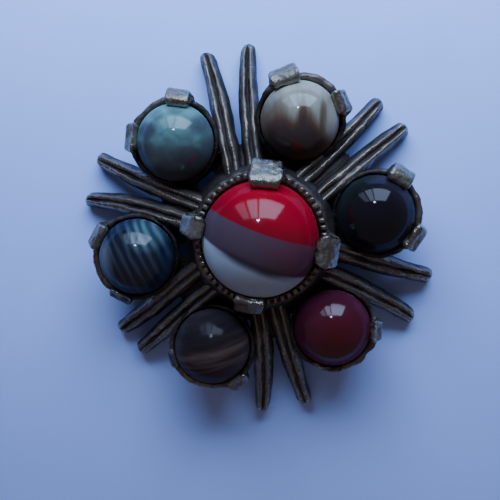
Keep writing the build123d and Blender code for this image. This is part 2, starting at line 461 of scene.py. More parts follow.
@dataclass(frozen=True)
class Glass(ABC):
    """Polished glass with a pattern that lies as it is seen from the front.

    Roll turns the pattern to the picture's own left, right, up and down, in degrees. The gloss is a coat:
    polish is its roughness and sparkle its refractive index. Clarity is the share of the light that goes into
    the glass, and depth how far it spreads there, in metres. The spans say where the loss of gloss at the
    edge and the painted light at the foot start and are full, by the squared distance from the middle. The rim
    colour is that painted light, strongest at the bottom, standing in for light that comes through the glass;
    it lightens the dark bodies and darkens the pale milk field.
    """

    roll: float = -10.4
    gloss: float = 0.9
    edge_gloss: float = 0.12
    edge_span: Span = (0.38, 0.70)
    foot_light_span: Span = (0.45, 1.0)
    polish: float = 0.09
    sparkle: float = 1.72
    depth: float = 0.0006
    clarity: float = 0.4
    body_roughness: float = 0.6
    foot_light_share: float = 0.55
    # Colour of the painted light along the foot.
    rim: Colour = (0.060, 0.054, 0.060)

    @abstractmethod
    def colour(self, face: Face) -> Link:
        """Colour of the glass over a stone's face."""

    def material(self, name: str, stone: StonePlace) -> bpy.types.Material:
        """Make the material for a stone.

        Args:
            name: Name of the material.
            stone: Place and size of the stone.

        Returns:
            The new material.
        """
        graph = Graph(name)
        place = graph.place()
        radius = stone.radius * MM
        across = graph.link("ShaderNodeMapping", {"vector_type": "TEXTURE"}, {
            "Vector": place,
            "Location": (stone.x * MM, stone.y * MM, (stone.top + stone.low) / 2 * MM),
            "Rotation": (0.0, 0.0, math.radians(self.roll)),
            "Scale": (radius, radius, radius),
        })
        x, y, _ = graph.split(across)
        away = x ** 2.0 + y ** 2.0
        edge = away.ease(*self.edge_span)
        # Painted light along the foot, stronger towards the bottom.
        foot = self.foot_light_share * away.ease(*self.foot_light_span) * (0.3 + 0.7 * y.ease(0.5, -0.5))
        return graph.finish({
            "Base Color": graph.mix(foot, self.colour(Face(graph, x, y, across)), self.rim),
            "Subsurface Weight": self.clarity,
            "Subsurface Radius": (1.0, 1.0, 1.0),
            "Subsurface Scale": self.depth,
            "Roughness": self.body_roughness,
            "Specular IOR Level": 0.0,
            "Coat Weight": self.gloss - (self.gloss - self.edge_gloss) * edge,
            "Coat Roughness": self.polish,
            "Coat IOR": self.sparkle,
        })


@dataclass(frozen=True)
class MottledGlass(Glass):
    """Turquoise glass with dark clouds, darker towards its foot."""

    sparkle: float = 1.9
    bright: Colour = (0.082, 0.175, 0.165)
    middle: Colour = (0.044, 0.082, 0.078)
    dark: Colour = (0.036, 0.048, 0.058)
    cloud: Colour = (0.028, 0.029, 0.038)
    clouds: tuple[Smudge, ...] = (
        Smudge(-0.60, 0.26, 0.36, 0.30, 1.0), Smudge(-0.66, -0.22, 0.36, 0.34, 0.9),
        Smudge(0.44, -0.36, 0.52, 0.30, 1.0), Smudge(0.70, 0.40, 0.30, 0.34, 0.9),
        Smudge(-0.16, -0.30, 0.34, 0.24, 0.5), Smudge(0.10, 0.78, 0.30, 0.20, 0.5),
        Smudge(-0.36, 0.62, 0.24, 0.20, 0.5), Smudge(0.05, -0.62, 0.60, 0.24, 0.5),
        Smudge(0.86, -0.05, 0.20, 0.30, 0.6),
    )

    def colour(self, face: Face) -> Link:
        """Soft clouds that darken downwards, with a few purplish patches.

        Args:
            face: The stone's face.

        Returns:
            The colour.
        """
        graph, across = face.graph, face.across
        broad = graph.noise(across, 2.6, 4.0, 0.8)
        fine = graph.noise(across, 7.0, 3.0, 0.6)
        level = 0.58 + 0.36 * face.y + 0.50 * (broad - 0.5) + 0.25 * (fine - 0.5)
        tone = graph.ramp(level, (0.18, self.dark), (0.50, self.middle), (0.88, self.bright))
        patches = face.patches(self.clouds) * (0.2 + 0.9 * fine + 0.7 * broad)
        return graph.mix(patches.clamp() * 0.9, tone, self.cloud)


@dataclass(frozen=True)
class FlamedGlass(Glass):
    """Cream glass whose foot is dark brown, with soft brown streaks that run up from it."""

    rim: Colour = (0.075, 0.060, 0.054)
    foot_light_share: float = 0.4
    sparkle: float = 1.95
    cream: Colour = (0.235, 0.225, 0.180)
    tan: Colour = (0.100, 0.078, 0.050)
    brown: Colour = (0.056, 0.027, 0.018)
    foot: Colour = (0.034, 0.020, 0.019)
    streaks: tuple[Smudge, ...] = (
        Smudge(-0.64, 0.00, 0.50, 0.85, 0.24), Smudge(-0.44, -0.40, 0.44, 0.60, 0.24),
        Smudge(0.06, 0.12, 0.12, 0.66, 0.30), Smudge(0.14, -0.26, 0.34, 0.66, 0.40),
        Smudge(0.56, 0.04, 0.12, 0.52, 0.24), Smudge(-0.18, 0.10, 0.17, 0.50, -0.10),
        Smudge(0.38, 0.10, 0.16, 0.50, -0.14), Smudge(0.86, -0.30, 0.38, 0.80, -0.30),
        Smudge(-0.10, -0.95, 1.20, 1.00, 0.55),
    )

    def colour(self, face: Face) -> Link:
        """Streaks of different strength over a ground that darkens downwards.

        Args:
            face: The stone's face.

        Returns:
            The colour.
        """
        graph, x, y = face.graph, face.x, face.y
        clouds = graph.noise(graph.join(x * 3.0, y * 1.0, 0.7), 1.0, 3.0, 0.4)
        grain = graph.noise(graph.join(x * 9.0, y * 1.6, 2.3), 1.0, 2.0, 0.3)
        level = 0.32 - 0.36 * y + 0.9 * face.patches(self.streaks)
        level = level + 0.36 * (clouds - 0.5) + 0.14 * (grain - 0.5)
        return graph.ramp(level, (0.0, self.cream), (0.42, self.tan), (0.70, self.brown), (1.0, self.foot))


@dataclass(frozen=True)
class NightGlass(Glass):
    """Near-black glass, faintly green at the left, with a painted violet-blue reflection at the right edge."""

    rim: Colour = (0.030, 0.026, 0.038)
    sparkle: float = 1.62
    foot_light_share: float = 0.20
    edge_gloss: float = 0.2
    body: Colour = (0.0034, 0.0030, 0.0050)
    green: Colour = (0.0080, 0.0110, 0.0090)
    violet: Colour = (0.0260, 0.0190, 0.0300)

    def colour(self, face: Face) -> Link:
        """Tints that come up towards the edge; the violet-blue one at the right is a painted reflection.

        Args:
            face: The stone's face.

        Returns:
            The colour.
        """
        graph, x, y = face.graph, face.x, face.y
        edge = (x ** 2.0 + y ** 2.0).ease(0.10, 1.3)
        # The violet-blue towards the right edge is a painted reflection.
        tint = graph.mix(x.ease(-0.5, 0.5), self.green, self.violet)
        return graph.mix(edge, self.body, tint)


@dataclass(frozen=True)
class RubyGlass(Glass):
    """Deep red glass, a little lighter and more purple towards its edge."""

    sparkle: float = 1.82
    rim: Colour = (0.095, 0.020, 0.048)
    heart: Colour = (0.0500, 0.0004, 0.0032)
    flush: Colour = (0.0520, 0.0015, 0.0080)
    edge: Colour = (0.0450, 0.0050, 0.0110)

    def colour(self, face: Face) -> Link:
        """Rings of tone round a heart that lies below the middle.

        Args:
            face: The stone's face.

        Returns:
            The colour.
        """
        graph, x, y = face.graph, face.x, face.y
        cloud = graph.noise(face.across, 2.8, 3.0, 0.5)
        away = (((x - 0.05) ** 2.0 + (y + 0.2) ** 2.0) ** 0.5) + 0.6 * (cloud - 0.5)
        return graph.ramp(away, (0.12, self.heart), (0.62, self.flush), (1.0, self.edge))


@dataclass(frozen=True)
class BandedGlass(Glass):
    """Brown agate glass with soft bands that rise a little to the right."""

    gloss: float = 0.3
    polish: float = 0.16
    rim: Colour = (0.060, 0.044, 0.054)
    dark: Colour = (0.0140, 0.0090, 0.0090)
    brown: Colour = (0.0290, 0.0175, 0.0150)
    tan: Colour = (0.0740, 0.0480, 0.0400)
    smoke: Colour = (0.0280, 0.0220, 0.0320)
    # Dark colour painted over the top of the stone as shade.
    top_shade: Colour = (0.0075, 0.0065, 0.0080)

    def colour(self, face: Face) -> Link:
        """Noise drawn out along the bands, smoky at the foot, with painted shade over the top.

        Args:
            face: The stone's face.

        Returns:
            The colour.
        """
        graph, x, y = face.graph, face.x, face.y
        slope = y - 0.24 * x - 0.08 * x * x
        bands = graph.noise(graph.join(x * 0.35, slope * 3.1, 1.9), 1.0, 2.0, 0.25)
        fine = graph.noise(graph.join(x * 0.8, slope * 9.0, 0.4), 1.0, 2.0, 0.2)
        level = bands + 0.16 * (fine - 0.5)
        tone = graph.ramp(level, (0.36, self.dark), (0.47, self.brown), (0.56, self.tan), (0.68, self.brown))
        tone = graph.mix(slope.ease(-0.25, -0.75) * 0.85, tone, self.smoke)
        # Painted shade over the top of the stone.
        return graph.mix(slope.ease(-0.05, 0.45) * 0.9, tone, self.top_shade)


@dataclass(frozen=True)
class StripedGlass(Glass):
    """Navy glass with steep grey-blue stripes that lean to the left at their top."""

    sparkle: float = 1.8
    rim: Colour = (0.030, 0.042, 0.074)
    navy: Colour = (0.0016, 0.0044, 0.0125)
    slate: Colour = (0.0200, 0.0260, 0.0360)
    # Colour of the painted reflection of the window.
    teal: Colour = (0.0540, 0.1000, 0.1120)
    sheen_tint: Colour = (0.0900, 0.1000, 0.1200)
    pitch: float = 27.0
    contrast: float = 1.5
    # Where the window's reflection is painted, at the upper right.
    glow: Smudge = Smudge(0.36, 0.62, 0.60, 0.55, 1.0)
    left_sheen: Smudge = Smudge(-0.94, -0.15, 0.56, 0.90, 0.9)

    def colour(self, face: Face) -> Link:
        """Bent stripes of uneven strength, with a painted teal reflection of the window at the upper right
        and a painted pale sheen at the left.

        Args:
            face: The stone's face.

        Returns:
            The colour.
        """
        graph, x, y = face.graph, face.x, face.y
        wander = graph.noise(graph.join(x * 1.4, y * 0.6, 5.2), 1.0, 2.0, 0.2)
        fine = graph.noise(graph.join((x + 0.55 * y) * 7.0, y * 0.6, 1.1), 1.0, 2.0, 0.2)
        lean = x + 0.50 * y + 0.10 * y * y + 0.26 * (wander - 0.5)
        stripes = (0.5 + 0.5 * graph.maths("SINE", lean * self.pitch)) * (0.35 + 1.1 * fine)
        stripes = stripes.clamp() ** self.contrast
        tone = graph.mix(stripes, self.navy, self.slate)
        # Painted teal reflection of the window at the upper right.
        glow = face.patches([self.glow])
        tone = graph.mix((glow * (0.25 + 0.9 * stripes)).clamp(), tone, self.teal)
        # Painted pale sheen along the left edge.
        return graph.mix(face.patches([self.left_sheen]).clamp(), tone, self.sheen_tint)


@dataclass(frozen=True)
class TrefoilGlass(Glass):
    """Glass in three fields: red above, mauve across the middle, and milky blue below."""

    foot_light_share: float = 0.15
    red: Colour = (0.2400, 0.0008, 0.0090)
    deep_red: Colour = (0.1650, 0.0008, 0.0070)
    mauve: Colour = (0.0540, 0.0310, 0.0430)
    plum: Colour = (0.0760, 0.0210, 0.0340)
    milk: Colour = (0.3100, 0.3500, 0.4000)
    seam: Colour = (0.0200, 0.0120, 0.0200)
    upper: tuple[float, float, float] = (0.169, -0.363, 0.085)
    lower: tuple[float, float, float] = (-0.450, -0.370, 0.170)

    @staticmethod
    def above(x: Term, y: Term, curve: tuple[float, float, float]) -> Term:
        """Height over a curved line, given by its height at the middle, its slope and its bend."""
        return y - (curve[0] + curve[1] * x + curve[2] * x * x)

    def colour(self, face: Face) -> Link:
        """The three fields, with a dark seam between the lower two.

        Args:
            face: The stone's face.

        Returns:
            The colour.
        """
        graph, x, y = face.graph, face.x, face.y
        cloud = graph.noise(face.across, 2.0, 3.0, 0.6)
        over_upper = self.above(x, y, self.upper)
        over_lower = self.above(x, y, self.lower) + 0.06 * (cloud - 0.5)
        mauve = graph.mix((cloud + 0.5 * x).ease(0.35, 0.85), self.mauve, self.plum)
        red = graph.mix(over_upper.ease(0.0, 0.35) * (0.3 + 0.7 * x.ease(-0.9, 0.0)), self.deep_red, self.red)
        colour = graph.mix(over_lower.ease(-0.02, 0.05), self.milk, mauve)
        seam = abs(over_lower - 0.02).ease(0.14, 0.01) * x.ease(0.80, 0.20) * x.ease(-0.95, -0.30)
        colour = graph.mix(0.85 * seam, colour, self.seam)
        return graph.mix(over_upper.ease(-0.02, 0.02), colour, red)


@dataclass(frozen=True)
class PaleSurface:
    """Matt pale blue surface with a very faint mottle."""

    pale: Colour = (0.36, 0.48, 0.90)
    shade: Colour = (0.345, 0.465, 0.88)
    shaded: Span = (0.35, 0.65)
    mottle_scale: float = 60.0
    roughness: float = 0.75

    def material(self, name: str) -> bpy.types.Material:
        """Make the material.

        Args:
            name: Name of the material.

        Returns:
            The new material.
        """
        graph = Graph(name)
        mottle = graph.noise(graph.place(), self.mottle_scale, 3.0)
        return graph.finish({
            "Base Color": graph.mix(mottle.ease(*self.shaded), self.pale, self.shade),
            "Roughness": self.roughness,
        })


def add_object(name: str, data: bpy.types.ID) -> bpy.types.Object:
    """Put a new object in the scene.

    Args:
        name: Name of the object.
        data: Its mesh, light or camera.

    Returns:
        The object.
    """
    item = bpy.data.objects.new(name, data)
    bpy.context.scene.collection.objects.link(item)
    return item


def modified_mesh(item: bpy.types.Object) -> bpy.types.Mesh:
    """Copy an object's mesh as its modifiers leave it."""
    return bpy.data.meshes.new_from_object(item.evaluated_get(bpy.context.evaluated_depsgraph_get()))


class Mould:
    """A solid that bmesh operators shape, in millimetres."""

    def __init__(self) -> None:
        """Start with nothing."""
        self.solid = bmesh.new()

    def lathe(self, profile: Sequence[Point], steps: int) -> "Mould":
        """Turn a profile about the Z axis.

        Args:
            profile: Points as (distance from the axis, height), from axis to axis.
            steps: Number of steps in the turn.

        Returns:
            The mould itself.
        """
        points = [self.solid.verts.new((x, 0.0, z)) for x, z in profile]
        lines = [self.solid.edges.new(pair) for pair in zip(points, points[1:])]
        bmesh.ops.spin(
            self.solid, geom=points + lines, cent=(0, 0, 0), axis=(0, 0, 1), dvec=(0, 0, 0),
            angle=math.tau, steps=steps, use_merge=True, use_duplicate=False)
        return self.close()

    def loft(self, loops: Sequence[Sequence[Vector]]) -> "Mould":
        """Join closed loops, one after the other, and cap both ends.

        Args:
            loops: The loops, each of as many points as the next.

        Returns:
            The mould itself.
        """
        rings = []
        for loop in loops:
            points = [self.solid.verts.new(point) for point in loop]
            rings.append([self.solid.edges.new(pair) for pair in zip(points, points[1:] + points[:1])])
        for first, second in zip(rings, rings[1:]):
            bmesh.ops.bridge_loops(self.solid, edges=first + second)
        for ring in (rings[0], rings[-1]):
            bmesh.ops.contextual_create(self.solid, geom=ring)
        return self.close()

    def slab(self, outline: Sequence[Point], low: float, high: float) -> "Mould":
        """Extrude an outline in the XZ plane.

        Args:
            outline: Points as (x, z).
            low: Where the solid starts along Y.
            high: Where it ends.

        Returns:
            The mould itself.
        """
        points = [self.solid.verts.new((x, low, z)) for x, z in outline]
        face = self.solid.faces.new(points)
        grown = bmesh.ops.extrude_face_region(self.solid, geom=[face], use_keep_orig=True)["geom"]
        moved = [part for part in grown if isinstance(part, bmesh.types.BMVert)]
        bmesh.ops.translate(self.solid, verts=moved, vec=(0, high - low, 0))
        return self.close()

    def block(self, size: tuple[float, float, float], middle: tuple[float, float, float]) -> "Mould":
        """Add a box.

        Args:
            size: Its size along each axis.
            middle: Its middle.

        Returns:
            The mould itself.
        """
        made = bmesh.ops.create_cube(self.solid, size=1.0)["verts"]
        bmesh.ops.scale(self.solid, verts=made, vec=size)
        bmesh.ops.translate(self.solid, verts=made, vec=middle)
        return self

    def round_edges(self, offset: float, segments: int = 2) -> "Mould":
        """Round every edge.

        Args:
            offset: How far the rounding reaches from the edge.
            segments: Number of facets in it.

        Returns:
            The mould itself.
        """
        bmesh.ops.bevel(
            self.solid, geom=self.solid.edges[:], offset=offset, segments=segments, profile=0.5,
            affect="EDGES", clamp_overlap=True, material=-1)
        return self

    def reshape(self, change: Callable[[Vector], Vector]) -> "Mould":
        """Move every point.

        Args:
            change: Gives a point's new place from its old one.

        Returns:
            The mould itself.
        """
        for point in self.solid.verts:
            point.co = change(point.co)
        return self

    def move(self, matrix: Matrix) -> "Mould":
        """Move the whole solid."""
        bmesh.ops.transform(self.solid, matrix=matrix, verts=self.solid.verts[:])
        return self

    def close(self) -> "Mould":
        """Merge doubles and point the faces outwards.

        Returns:
            The mould itself.
        """
        bmesh.ops.remove_doubles(self.solid, verts=self.solid.verts[:], dist=WELD)
        bmesh.ops.recalc_face_normals(self.solid, faces=self.solid.faces[:])
        return self

    def take(self, other: "Mould") -> "Mould":
        """Add another mould's solid to this one.

        Args:
            other: The other mould, which is empty afterwards.

        Returns:
            The mould itself.
        """
        mesh = other.mesh("part")
        self.solid.from_mesh(mesh)
        bpy.data.meshes.remove(mesh)
        return self

    def mesh(self, name: str) -> bpy.types.Mesh:
        """Write the solid to a mesh and free it.

        Args:
            name: Name of the mesh.

        Returns:
            The mesh, in millimetres.
        """
        mesh = bpy.data.meshes.new(name)
        self.solid.to_mesh(mesh)
        self.solid.free()
        return mesh


@dataclass(frozen=True)
class CastSkin:
    """How a cast surface is fused, softened and roughened, in millimetres.

    Softening pulls each point towards its neighbours by one share and then pushes it back by another, which
    rounds edges and keeps the size.
    """

    subdivide: int = 0
    soften: int = 6
    wave: float = 0.13
    wave_length: float = 1.15
    grain: float = 0.030
    grain_length: float = 0.38
    grain_drawn: float = 1.0
    pull: float = 0.6
    push: float = 0.62
    relief_rounds: int = 14
    relief_height: float = 0.09


class Casting:
    """Fuses moulds into one skin with the softened, slightly uneven surface of a casting."""

    def __init__(self, skin: CastSkin, fineness: Fineness) -> None:
        """Keep how the skin is made and how fine it is."""
        self.skin = skin
        self.fineness = fineness

    def fuse(self, mould: Mould, name: str) -> bpy.types.Mesh:
        """Fuse overlapping solids into one mesh of even faces. The raw object goes with its mesh.

        Args:
            mould: The overlapping solids.
            name: Name of the mesh.

        Returns:
            The fused mesh, in millimetres.
        """
        raw = add_object(f"{name}_raw", mould.mesh(f"{name}_raw"))
        if self.skin.subdivide:
            round_off = raw.modifiers.new("round", "SUBSURF")
            round_off.levels = round_off.render_levels = self.skin.subdivide
        fused = raw.modifiers.new("fuse", "REMESH")
        fused.mode = "VOXEL"
        fused.voxel_size = self.fineness.value
        mesh = modified_mesh(raw)
        bpy.data.meshes.remove(raw.data)
        mesh.name = name
        return mesh

    def cast(self, mould: Mould, name: str, depth: Depth) -> bpy.types.Mesh:
        """Fuse, soften and roughen a mould, and give its points their relief and their depth.

        Args:
            mould: The overlapping solids.
            name: Name of the mesh.
            depth: Gives how far below the outer surface points lie, in millimetres.

        Returns:
            The mesh, still in millimetres.
        """
        mesh = self.fuse(mould, name)
        edges = self.read(mesh.edges, "vertices", 2, np.int32)
        points = self.read(mesh.vertices, "co", 3, np.float32).astype(float)
        for _ in range(self.skin.soften):
            points += self.skin.pull * (self.average(points, edges) - points)
            points -= self.skin.push * (self.average(points, edges) - points)
        self.write(mesh, points)
        normals = self.read(mesh.vertices, "normal", 3, np.float32).astype(float)
        points += normals * self.unevenness(points)[:, None]
        self.write(mesh, points)
        self.mark(mesh, points, edges, depth)
        return mesh

    def mark(self, mesh: bpy.types.Mesh, points: np.ndarray, edges: np.ndarray, depth: Depth) -> None:
        """Write the attributes relief, from -1 in hollows to 1 on edges, and depth, in millimetres.

        Args:
            mesh: The mesh.
            points: Its points.
            edges: Its edges, as pairs of numbers of points.
            depth: Gives how far below the outer surface points lie.
        """
        normals = self.read(mesh.vertices, "normal", 3, np.float32).astype(float)
        smooth = points.copy()
        for _ in range(self.skin.relief_rounds):
            smooth = self.average(smooth, edges)
        height = ((points - smooth) * normals).sum(axis=1) / self.skin.relief_height
        self.attach(mesh, "relief", np.clip(height, -1.0, 1.0))
        self.attach(mesh, "depth", depth(points))

    def unevenness(self, points: np.ndarray) -> np.ndarray:
        """Work out the broad waves and the fine grain, which is drawn out along X.

        Args:
            points: The points.

        Returns:
            How far each point is lifted.
        """
        skin = self.skin
        fine = points / skin.grain_length / (skin.grain_drawn, 1.0, 1.0)
        return np.array([
            skin.wave * noise.noise(broad) + skin.grain * noise.noise(grain)
            for broad, grain in zip(map(Vector, points / skin.wave_length), map(Vector, fine))
        ])

    @staticmethod
    def read(items: bpy.types.bpy_prop_collection, name: str, width: int, kind: type) -> np.ndarray:
        """Read one property of all vertices or edges.

        Args:
            items: The vertices or edges.
            name: Name of the property.
            width: How many numbers it has.
            kind: Their type.

        Returns:
            A row for each vertex or edge.
        """
        values = np.empty(len(items) * width, kind)
        items.foreach_get(name, values)
        return values.reshape(-1, width)

    @staticmethod
    def write(mesh: bpy.types.Mesh, points: np.ndarray) -> None:
        """Put the points of a mesh where the rows say."""
        mesh.vertices.foreach_set("co", points.astype(np.float32).ravel())
        mesh.update()

    @staticmethod
    def average(points: np.ndarray, edges: np.ndarray) -> np.ndarray:
        """Take the mean of each point's neighbours.

        Args:
            points: The points.
            edges: The edges between them, as pairs of numbers of points.

        Returns:
            The means.
        """
        count = np.bincount(edges.ravel(), minlength=len(points))[:, None]
        total = np.stack([
            np.bincount(edges[:, 0], points[edges[:, 1], axis], len(points))
            + np.bincount(edges[:, 1], points[edges[:, 0], axis], len(points))
            for axis in range(3)
        ], axis=1)
        return total / np.maximum(count, 1)

    @staticmethod
    def attach(mesh: bpy.types.Mesh, name: str, values: np.ndarray) -> None:
        """Give each point of a mesh a number."""
        layer = mesh.attributes.new(name, "FLOAT", "POINT")
        layer.data.foreach_set("value", values.astype(np.float32))


def place_piece(mesh: bpy.types.Mesh, name: str, material: bpy.types.Material, node: str) -> None:
    """Turn a mesh to metres and put it in the scene in place of a solid of the frame.

    Args:
        mesh: The mesh, in millimetres.
        name: Name of the piece.
        material: Its material.
        node: The solid that it stands for, which is hidden.
    """
    mesh.transform(Matrix.Scale(MM, 4))
    mesh.shade_smooth()
    mesh.materials.clear()
    mesh.materials.append(material)
    piece = add_object(name, mesh)
    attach(piece, "root")
    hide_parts(node)
    LOG.info("%s: %d faces", name, len(mesh.polygons))


@dataclass(frozen=True)
class Dome:
    """The curve of a cabochon: a shoulder arc and a flatter crown arc that meet smoothly."""

    radius: float
    height: float
    shoulder_share: float = 0.78

    @property
    def shoulder(self) -> float:
        """Radius of the shoulder arc."""
        return self.shoulder_share * self.height

    @property
    def offset(self) -> float:
        """Distance of the shoulder arc's middle from the axis."""
        return self.radius - self.shoulder

    @property
    def depth(self) -> float:
        """Depth of the crown arc's middle below the widest line."""
        rise = self.height - self.shoulder
        return (self.offset ** 2 - rise ** 2) / (2 * rise)

    def height_at(self, away: float) -> float:
        """Height of the shoulder over the widest line at a distance from the axis."""
        return math.sqrt(self.shoulder ** 2 - (away - self.offset) ** 2)

    def profile(self, steps: int) -> list[Point]:
        """Work out the curve from the widest line, at height 0, to the top.

        Args:
            steps: Number of steps in each of the two arcs.

        Returns:
            Points as (distance from the axis, height).
        """
        join = math.atan2(self.depth, self.offset)
        crown = self.height + self.depth
        low = [join * step / steps for step in range(steps)]
        high = [join + (math.pi / 2 - join) * step / steps for step in range(steps)]
        arc, offset = self.shoulder, self.offset
        side = [(offset + arc * math.cos(turn), arc * math.sin(turn)) for turn in low]
        front = [(crown * math.cos(turn), crown * math.sin(turn) - self.depth) for turn in high]
        return side + front + [(0.0, self.height)]


@dataclass(frozen=True)
class Cabochon:
    """One round glass stone."""

    node: str
    glass: Glass
    back: float = 0.9
    heel: float = 0.55
    arc_steps: int = 14
    turn_steps: int = 96

    @cached_property
    def place(self) -> StonePlace:
        """Where the stone lies."""
        return StonePlace.of_node(self.node)

    @property
    def girdle(self) -> float:
        """Height of the widest line."""
        return self.place.low + self.back

    @property
    def dome(self) -> Dome:
        """Curve of the front."""
        return Dome(self.place.radius, self.place.top - self.girdle)

    def build(self) -> None:
        """Spin the stone and dress it."""
        place = self.place
        foot = [(0.0, place.low), (place.radius - self.heel, place.low)]
        front = [(x, self.girdle + z) for x, z in self.dome.profile(self.arc_steps)]
        mould = Mould().lathe(foot + front, self.turn_steps).move(place.shift)
        material = self.glass.material(f"{self.node}_glass", place)
        place_piece(mould.mesh(self.node), f"{self.node}_polished", material, self.node)


@dataclass(frozen=True)
class Claw:
    """A tab bent in over the edge of a stone, in millimetres, with the direction that it stands in."""

    angle: float
    width: float
    lap: float = 0.45
    proud: float = 0.65
    bevel: float = 0.75
    inner_slope: float = 0.38
    crown_fall: float = 0.15
    thickness: float = 0.42
    root_depth: float = 1.5
    pinch_in: float = 0.80
    pinch_out: float = 0.86
    rounding: float = 0.20
    tuck: float = 0.05
    lift: float = 0.02
    corner: float = 0.1
    waist: float = 0.3

    def mould(self, stone: Cabochon, outer: float, wall: float, rim: float) -> Mould:
        """Shape the claw where it holds a stone.

        Args:
            stone: The stone.
            outer: Outer radius of the wall that the claw stands on.
            wall: Thickness of that wall.
            rim: Height of the wall's rim.

        Returns:
            The claw's solid.
        """
        edge = stone.dome.radius - self.lap
        lip = stone.girdle + stone.dome.height_at(edge)
        crown = lip + self.thickness
        face = outer + self.proud
        root = rim - self.root_depth
        outline = [
            (edge - self.tuck, lip + self.lift), (edge + self.inner_slope, crown),
            (face - self.bevel, crown - self.crown_fall), (face, crown - self.bevel - self.corner),
            (face - self.waist * self.proud, rim - self.root_depth / 2),
            (outer - wall / 2, root), (outer - wall / 2, stone.girdle),
        ]
        middle = (edge + face) / 2
        reach = (face - edge) / 2

        def pinch(point: Vector) -> Vector:
            """Narrow the claw towards both of its ends.

            Args:
                point: A point of the claw.

            Returns:
                Its new place.
            """
            away = max(-1.0, min(1.0, (point.x - middle) / reach))
            share = 1 - (1 - (self.pinch_out if away > 0 else self.pinch_in)) * away * away
            return Vector((point.x, point.y * share, point.z))

        half = self.width / 2
        mould = Mould().slab(outline, -half, half).reshape(pinch).round_edges(self.rounding)
        return mould.move(stone.place.shift @ Matrix.Rotation(math.radians(self.angle), 4, "Z"))


@dataclass(frozen=True)
class Holder:
    """What the cups and the collet share, in millimetres: a round wall close to a stone, hollow below it.

    Crest is how far above the rim the metal counts as being at no depth.
    """

    stone: Cabochon
    _: KW_ONLY
    gap: float = 0.09
    wall: float = 0.45
    rim_drop: float = 0.05
    floor: float = 1.55
    seat_wall: float = 0.6
    hollow_inset: float = 0.75
    crest: float = 0.3
    steps: int = 96

    @property
    def rim(self) -> float:
        """Height of the rim."""
        return self.stone.girdle - self.rim_drop

    @property
    def outer(self) -> float:
        """Outer radius of the rim."""
        return self.stone.place.radius + self.gap + self.wall

    @property
    def pocket(self) -> float:
        """Inner radius of the wall."""
        return self.outer - self.wall

    def turn(self, foot: float, back: float, wall: Sequence[Point]) -> Mould:
        """Spin the wall, with its seat and the hollow below it.

        Args:
            foot: Outer radius at the underside.
            back: Height of the underside above the surface.
            wall: Points of the wall, from above the underside's edge over the rim to the pocket.

        Returns:
            The mould, with its middle at the origin.
        """
        inner, seat = foot - self.hollow_inset, back + self.floor
        roof = seat - self.seat_wall
        return Mould().lathe([
            (0.0, roof), (inner, roof), (inner, back), (foot, back), *wall, (self.pocket, seat), (0.0, seat),
        ], self.steps)

    def add_claws(self, mould: Mould, claws: Sequence[Claw]) -> Mould:
        """Stand claws on the wall.

        Args:
            mould: The wall, in its place in the brooch.
            claws: The claws.

        Returns:
            The mould with the claws.
        """
        for claw in claws:
            mould.take(claw.mould(self.stone, self.outer, self.wall, self.rim))
        return mould


@dataclass(frozen=True)
class Cup(Holder):
    """One of the six outer cups with its two claws, in millimetres.

    On the side away from the middle of the brooch the wall swells by a share of its thickness, in uneven
    lumps. On the other it is thinned and sunk, and painted darker as shade through its depth. Each change
    starts from a direction, which is 1 straight outwards and -1 straight inwards.
    """

    claws: tuple[Claw, Claw]
    taper: float = 0.5
    lip: float = 0.35
    inner_shade: float = 2.8
    inner_shade_from: float = 0.45
    swell: float = 0.5
    swell_from: float = -0.2
    lumps: float = 0.9
    lump_pitch: float = 0.9
    thin: float = 0.4
    clear: float = 0.01
    sink: float = 0.35
    sink_from: float = 0.3

    def build(self, casting: Casting, material: bpy.types.Material, back: float) -> None:
        """Spin the cup, add its claws and cast them as one piece.

        Args:
            casting: Fuses the piece.
            material: The metal.
            back: Height of the cup's underside above the surface.
        """
        lip = self.lip * self.wall
        cup = self.turn(self.outer - self.taper, back, [
            (self.outer, self.rim - lip), (self.outer - lip, self.rim),
            (self.pocket + lip, self.rim), (self.pocket, self.rim - lip),
        ]).reshape(self.thicken).move(self.stone.place.shift)
        name = self.stone.node.replace("stone", "cup")
        mesh = casting.cast(self.add_claws(cup, self.claws), name, self.depth)
        place_piece(mesh, name, material, "setting")

    def thicken(self, point: Vector) -> Vector:
        """Swell the wall on the side away from the middle of the brooch, and thin and sink the other.

        Args:
            point: A point of the cup, whose middle is at the origin.

        Returns:
            Its new place.
        """
        away, pocket = math.hypot(point.x, point.y), self.pocket
        if away <= pocket + self.clear:
            return point
        place = self.stone.place
        outward = (point.x * place.x + point.y * place.y) / away / math.hypot(place.x, place.y)
        pitch = self.lump_pitch
        lump = 1 + self.lumps * noise.noise(Vector((point.x * pitch, point.y * pitch, place.x)))
        share = 1 + self.swell * max(0.0, outward - self.swell_from) * lump - self.thin * max(0.0, -outward)
        grown = (pocket + (away - pocket) * share) / away
        sunk = self.sink * max(0.0, self.sink_from - outward) if point.z > place.low else 0.0
        return Vector((point.x * grown, point.y * grown, point.z - sunk))

    def depth(self, points: np.ndarray) -> np.ndarray:
        """Measure how far points lie below the rim, where the side towards the middle counts as deeper, as
        painted shade.

        Args:
            points: The points.

        Returns:
            Their depths.
        """
        middle = np.array((self.stone.place.x, self.stone.place.y))
        outward = (points[:, :2] - middle) @ middle / np.linalg.norm(middle) / self.outer
        # Painted shade: the side towards the middle of the brooch counts as deeper, so it is darker.
        inner_side_share = np.clip(self.inner_shade_from - outward, 0.0, 1.0)
        return self.rim + self.crest - points[:, 2] + self.inner_shade * inner_side_share


